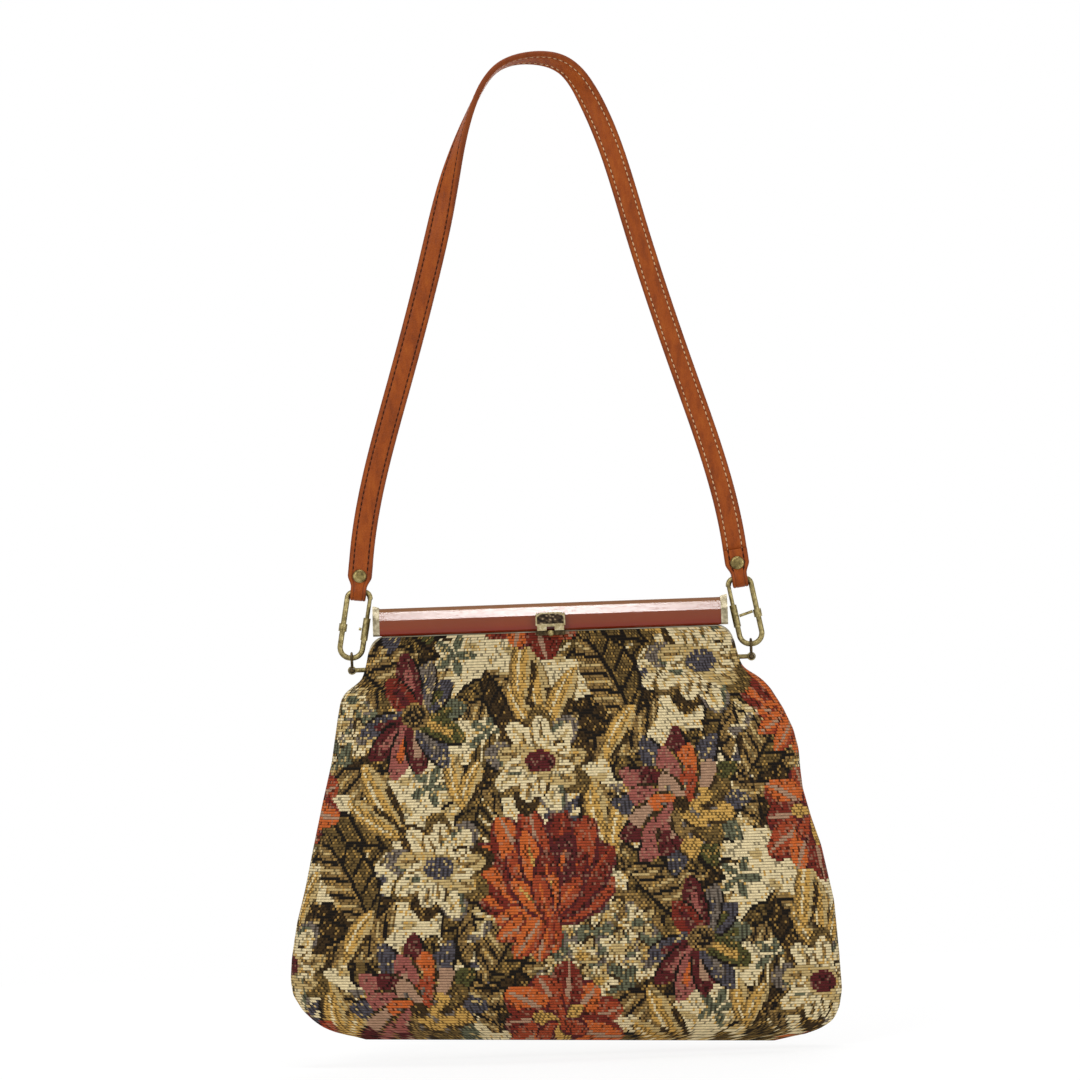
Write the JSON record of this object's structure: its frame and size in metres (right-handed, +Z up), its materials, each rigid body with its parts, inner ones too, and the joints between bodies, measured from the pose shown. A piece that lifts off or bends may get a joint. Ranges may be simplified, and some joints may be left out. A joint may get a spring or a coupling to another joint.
{
  "type": "frame handbag",
  "caption": "Tapestry handbag with a hinged metal frame, faceted amber top bar, tab clasp and a leather shoulder strap hung on wire links.",
  "frame": {"origin": "underside of the strap's highest point, where a hook or a hand holds it", "axes": "+X along the top bar, +Y from the front of the bag to its back, +Z up"},
  "size_m": [0.2835, 0.0514, 0.5122],
  "materials": {
    "strap_leather": "satin",
    "antique_brass": "satin",
    "dark_bronze": "satin",
    "frame_steel": "satin",
    "amber_acrylic": "gloss",
    "pale_metal": "satin",
    "clasp_metal": "satin",
    "tapestry": "matte",
    "lining_cloth": "matte"
  },
  "bodies": {
    "strap": {"strap": "strap_leather", "left_rivet": "antique_brass", "right_rivet": "antique_brass"},
    "left_link": {"left_link": "antique_brass", "left_link_sleeve": "antique_brass", "left_link_collar": "antique_brass", "left_crossbar_stub": "antique_brass"},
    "right_link": {"right_link": "antique_brass", "right_link_sleeve": "antique_brass", "right_link_collar": "antique_brass", "right_link_crossbar": "antique_brass"},
    "left_shackle": {"left_shackle": "dark_bronze", "left_shackle_pin": "dark_bronze", "left_hinge_pin": "dark_bronze"},
    "right_shackle": {"right_shackle": "dark_bronze", "right_shackle_pin": "dark_bronze", "right_hinge_pin": "dark_bronze"},
    "bag": {"tapestry_body": "tapestry", "lining": "lining_cloth"},
    "front_frame": {"front_frame": "frame_steel", "catch_plate": "dark_bronze", "catch_stud": "clasp_metal"},
    "back_frame": {"back_frame": "frame_steel", "top_bar": "amber_acrylic", "left_end_cap": "pale_metal", "right_end_cap": "pale_metal", "clasp_base": "clasp_metal", "clasp_hinge_pin": "clasp_metal", "clasp_spring": "dark_bronze"},
    "clasp_tab": {"clasp_tab": "clasp_metal"}
  },
  "joints": [
    {"name": "left_link_swing", "type": "hinge", "parent": "strap", "child": "left_link", "pos_m": [-0.09799, 0, -0.27074], "axis": [1, 0, 0], "range_deg": [-35, 35]},
    {"name": "right_link_swing", "type": "hinge", "parent": "strap", "child": "right_link", "pos_m": [0.09799, 0, -0.27074], "axis": [1, 0, 0], "range_deg": [-35, 35]},
    {"name": "left_shackle_swing", "type": "hinge", "parent": "left_link", "child": "left_shackle", "pos_m": [-0.10262, 0, -0.30444], "axis": [1, 0, 0], "range_deg": [-40, 40]},
    {"name": "right_shackle_swing", "type": "hinge", "parent": "right_link", "child": "right_shackle", "pos_m": [0.10262, 0, -0.30444], "axis": [1, 0, 0], "range_deg": [-40, 40]},
    {"name": "bag_swing", "type": "hinge", "parent": "left_shackle", "child": "bag", "pos_m": [0, 0, -0.31084], "axis": [1, 0, 0], "range_deg": [-40, 40]},
    {"name": "front_frame_open", "type": "hinge", "parent": "bag", "child": "front_frame", "pos_m": [0, 0, -0.31084], "axis": [1, 0, 0], "range_deg": [0, 45]},
    {"name": "back_frame_open", "type": "hinge", "parent": "bag", "child": "back_frame", "pos_m": [0, 0, -0.31084], "axis": [1, 0, 0], "range_deg": [-45, 0]},
    {"name": "clasp_tab_lift", "type": "hinge", "parent": "back_frame", "child": "clasp_tab", "pos_m": [0, -0.00895, -0.28564], "axis": [-1, 0, 0], "range_deg": [0, 60], "stiffness_Nm_per_rad": 0.004}
  ],
  "couplings": [
    {"joint": "right_link_swing", "follows": "left_link_swing", "ratio": 1},
    {"joint": "right_shackle_swing", "follows": "left_shackle_swing", "ratio": 1},
    {"joint": "front_frame_open", "follows": "back_frame_open", "ratio": -1}
  ]
}
